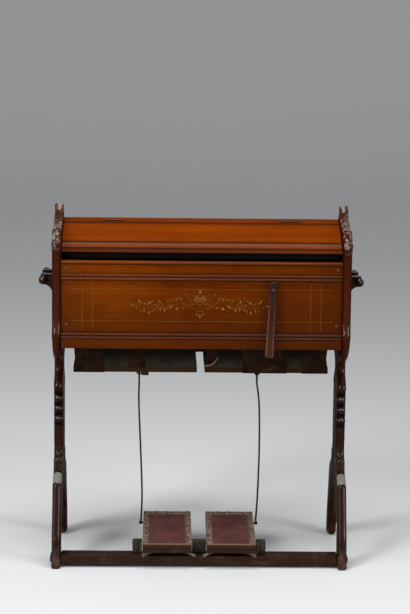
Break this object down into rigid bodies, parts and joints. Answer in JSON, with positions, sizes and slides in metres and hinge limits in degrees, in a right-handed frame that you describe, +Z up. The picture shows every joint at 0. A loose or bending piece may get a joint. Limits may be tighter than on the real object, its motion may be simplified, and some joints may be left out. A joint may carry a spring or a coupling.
{
  "type": "pump organ",
  "caption": "Small suction reed organ on shaped end panels, with a sloping lid, a knee lever, hinged bellows under the case and two foot pedals.",
  "frame": {"origin": "centre of the bounding box, on the floor", "axes": "+X to the player's right, +Y to the back, +Z up"},
  "size_m": [0.76, 0.3433, 0.841],
  "materials": {
    "panel_wood": "dark red-brown varnish, glossy",
    "case_wood": "orange-brown varnish",
    "dark_wood": "worn dark stain",
    "plain_wood": "bare softwood",
    "black_iron": "blackened wire and plate",
    "steel": "dull steel",
    "brass": "dull brass",
    "bellows_cloth": "rubberised black cloth",
    "carpet": "worn maroon carpet",
    "ivory": "aged cream key covering",
    "ebony": "black stained wood"
  },
  "bodies": {
    "case": {"end_panel_left": "panel_wood", "end_panel_right": "panel_wood", "stretcher": "dark_wood", "front_panel": "case_wood", "case_bottom": "plain_wood", "back_panel": "plain_wood", "top_board": "case_wood", "lid_hinge_left": "steel", "lid_hinge_right": "steel", "knee_plate": "black_iron", "handle_left": "panel_wood", "handle_bracket_left": "panel_wood", "handle_right": "panel_wood", "handle_bracket_right": "panel_wood", "pedal_bracket_left": "dark_wood", "pedal_bracket_centre": "dark_wood", "pedal_bracket_right": "dark_wood", "pedal_axle": "steel", "feeder_cloth_left": "bellows_cloth", "feeder_spring_left": "steel", "feeder_cloth_right": "bellows_cloth", "feeder_spring_right": "steel", "reservoir_cloth": "bellows_cloth", "reservoir_spring": "steel", "key_frame": "plain_wood", "name_board": "case_wood", "cheek_left": "case_wood", "cheek_right": "case_wood", "keys_bass": "ivory", "keys_treble": "ivory", "reed_pan": "plain_wood", "reed_rank": "brass", "pallet_rank": "plain_wood"},
    "lid": {"lid": "case_wood"},
    "knee_lever": {"knee_lever": "case_wood", "knee_shaft": "steel"},
    "swell": {"swell_shutter": "plain_wood"},
    "reservoir": {"reservoir_board": "plain_wood"},
    "pedal_left": {"pedal_board_left": "dark_wood", "pedal_cover_left": "carpet"},
    "rod_left": {"pedal_rod_left": "black_iron"},
    "feeder_left": {"feeder_board_left": "plain_wood", "feeder_eye_left": "black_iron"},
    "pedal_right": {"pedal_board_right": "dark_wood", "pedal_cover_right": "carpet"},
    "rod_right": {"pedal_rod_right": "black_iron"},
    "feeder_right": {"feeder_board_right": "plain_wood", "feeder_eye_right": "black_iron"},
    "note_c": {"key_c": "ivory"},
    "note_c_sharp": {"key_c_sharp": "ebony"},
    "note_d": {"key_d": "ivory"},
    "note_d_sharp": {"key_d_sharp": "ebony"},
    "note_e": {"key_e": "ivory"},
    "note_f": {"key_f": "ivory"},
    "note_f_sharp": {"key_f_sharp": "ebony"},
    "note_g": {"key_g": "ivory"},
    "note_g_sharp": {"key_g_sharp": "ebony"},
    "note_a": {"key_a": "ivory"},
    "note_a_sharp": {"key_a_sharp": "ebony"},
    "note_b": {"key_b": "ivory"}
  },
  "joints": [
    {"name": "lid_hinge", "type": "hinge", "parent": "case", "child": "lid", "pos_m": [0, -0.006, 0.8033], "axis": [-1, 0, 0], "range_deg": [0, 200]},
    {"name": "knee_hinge", "type": "hinge", "parent": "case", "child": "knee_lever", "pos_m": [0.165, -0.12, 0.669], "axis": [0, -1, 0], "range_deg": [0, 20], "stiffness_Nm_per_rad": 0.8, "springref_deg": -17.19},
    {"name": "swell_hinge", "type": "hinge", "parent": "case", "child": "swell", "pos_m": [0, -0.073, 0.646], "axis": [-1, 0, 0], "range_deg": [0, 40]},
    {"name": "reservoir_slide", "type": "slide", "parent": "case", "child": "reservoir", "axis": [0, 0, -1], "range_m": [0, 0.024], "stiffness_N_per_m": 400, "springref_m": -0.03, "deforming": ["reservoir_cloth", "reservoir_spring"]},
    {"name": "pedal_left_hinge", "type": "hinge", "parent": "case", "child": "pedal_left", "pos_m": [-0.0755, -0.121, 0.052], "axis": [-1, 0, 0], "range_deg": [0, 16]},
    {"name": "rod_left_pivot", "type": "hinge", "parent": "pedal_left", "child": "rod_left", "pos_m": [-0.13, 0.00645, 0.06382], "axis": [1, 0, 0], "range_deg": [0, 15]},
    {"name": "feeder_left_hinge", "type": "hinge", "parent": "case", "child": "feeder_left", "pos_m": [-0.153, 0.1127, 0.469], "axis": [1, 0, 0], "range_deg": [0, 20], "stiffness_Nm_per_rad": 3, "springref_deg": -40.11, "deforming": ["feeder_cloth_left", "feeder_spring_left"]},
    {"name": "pedal_right_hinge", "type": "hinge", "parent": "case", "child": "pedal_right", "pos_m": [0.0755, -0.121, 0.052], "axis": [-1, 0, 0], "range_deg": [0, 16]},
    {"name": "rod_right_pivot", "type": "hinge", "parent": "pedal_right", "child": "rod_right", "pos_m": [0.13, 0.00645, 0.06382], "axis": [1, 0, 0], "range_deg": [0, 15]},
    {"name": "feeder_right_hinge", "type": "hinge", "parent": "case", "child": "feeder_right", "pos_m": [0.153, 0.1127, 0.469], "axis": [1, 0, 0], "range_deg": [0, 20], "stiffness_Nm_per_rad": 3, "springref_deg": -40.11, "deforming": ["feeder_cloth_right", "feeder_spring_right"]},
    {"name": "key_c_hinge", "type": "hinge", "parent": "case", "child": "note_c", "pos_m": [0, 0.092, 0.69], "axis": [1, 0, 0], "range_deg": [0, 2.6], "stiffness_Nm_per_rad": 1.5, "springref_deg": -5.73},
    {"name": "key_c_sharp_hinge", "type": "hinge", "parent": "case", "child": "note_c_sharp", "pos_m": [0, 0.092, 0.69], "axis": [1, 0, 0], "range_deg": [0, 2.6], "stiffness_Nm_per_rad": 1.5, "springref_deg": -5.73},
    {"name": "key_d_hinge", "type": "hinge", "parent": "case", "child": "note_d", "pos_m": [0, 0.092, 0.69], "axis": [1, 0, 0], "range_deg": [0, 2.6], "stiffness_Nm_per_rad": 1.5, "springref_deg": -5.73},
    {"name": "key_d_sharp_hinge", "type": "hinge", "parent": "case", "child": "note_d_sharp", "pos_m": [0, 0.092, 0.69], "axis": [1, 0, 0], "range_deg": [0, 2.6], "stiffness_Nm_per_rad": 1.5, "springref_deg": -5.73},
    {"name": "key_e_hinge", "type": "hinge", "parent": "case", "child": "note_e", "pos_m": [0, 0.092, 0.69], "axis": [1, 0, 0], "range_deg": [0, 2.6], "stiffness_Nm_per_rad": 1.5, "springref_deg": -5.73},
    {"name": "key_f_hinge", "type": "hinge", "parent": "case", "child": "note_f", "pos_m": [0, 0.092, 0.69], "axis": [1, 0, 0], "range_deg": [0, 2.6], "stiffness_Nm_per_rad": 1.5, "springref_deg": -5.73},
    {"name": "key_f_sharp_hinge", "type": "hinge", "parent": "case", "child": "note_f_sharp", "pos_m": [0, 0.092, 0.69], "axis": [1, 0, 0], "range_deg": [0, 2.6], "stiffness_Nm_per_rad": 1.5, "springref_deg": -5.73},
    {"name": "key_g_hinge", "type": "hinge", "parent": "case", "child": "note_g", "pos_m": [0, 0.092, 0.69], "axis": [1, 0, 0], "range_deg": [0, 2.6], "stiffness_Nm_per_rad": 1.5, "springref_deg": -5.73},
    {"name": "key_g_sharp_hinge", "type": "hinge", "parent": "case", "child": "note_g_sharp", "pos_m": [0, 0.092, 0.69], "axis": [1, 0, 0], "range_deg": [0, 2.6], "stiffness_Nm_per_rad": 1.5, "springref_deg": -5.73},
    {"name": "key_a_hinge", "type": "hinge", "parent": "case", "child": "note_a", "pos_m": [0, 0.092, 0.69], "axis": [1, 0, 0], "range_deg": [0, 2.6], "stiffness_Nm_per_rad": 1.5, "springref_deg": -5.73},
    {"name": "key_a_sharp_hinge", "type": "hinge", "parent": "case", "child": "note_a_sharp", "pos_m": [0, 0.092, 0.69], "axis": [1, 0, 0], "range_deg": [0, 2.6], "stiffness_Nm_per_rad": 1.5, "springref_deg": -5.73},
    {"name": "key_b_hinge", "type": "hinge", "parent": "case", "child": "note_b", "pos_m": [0, 0.092, 0.69], "axis": [1, 0, 0], "range_deg": [0, 2.6], "stiffness_Nm_per_rad": 1.5, "springref_deg": -5.73}
  ],
  "couplings": [
    {"joint": "swell_hinge", "follows": "knee_hinge", "ratio": 2},
    {"joint": "rod_left_pivot", "follows": "pedal_left_hinge", "ratio": 0.85},
    {"joint": "feeder_left_hinge", "follows": "pedal_left_hinge", "ratio": 1.16},
    {"joint": "rod_right_pivot", "follows": "pedal_right_hinge", "ratio": 0.85},
    {"joint": "feeder_right_hinge", "follows": "pedal_right_hinge", "ratio": 1.16}
  ]
}
